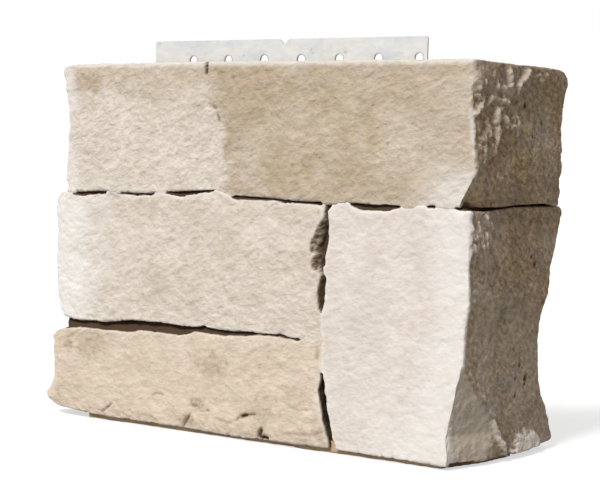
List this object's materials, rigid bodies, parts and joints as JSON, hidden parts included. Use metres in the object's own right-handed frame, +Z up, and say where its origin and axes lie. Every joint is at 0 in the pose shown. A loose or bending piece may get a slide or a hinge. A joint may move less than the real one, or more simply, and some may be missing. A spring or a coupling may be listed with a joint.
{
  "type": "ledger stone corner piece",
  "caption": "Cast stone veneer piece that turns a wall's outside corner, with split-stone relief and a punched nailing flange on its upper back edge.",
  "frame": {"origin": "midway along the length and the depth of the whole piece, on the level that it stands on", "axes": "+Z up; the long face looks towards -Y; the face of the return looks towards +X"},
  "size_m": [0.2885, 0.1097, 0.2234],
  "materials": {
    "cast_stone": "rough split-stone texture, cream to tan, whitish along the worn arrises",
    "galvanised_steel": "dull zinc coating with grey blotches and faint rust stains"
  },
  "bodies": {
    "root": {"cast_stone_body": "cast_stone", "nailing_flange": "galvanised_steel"}
  },
  "joints": []
}
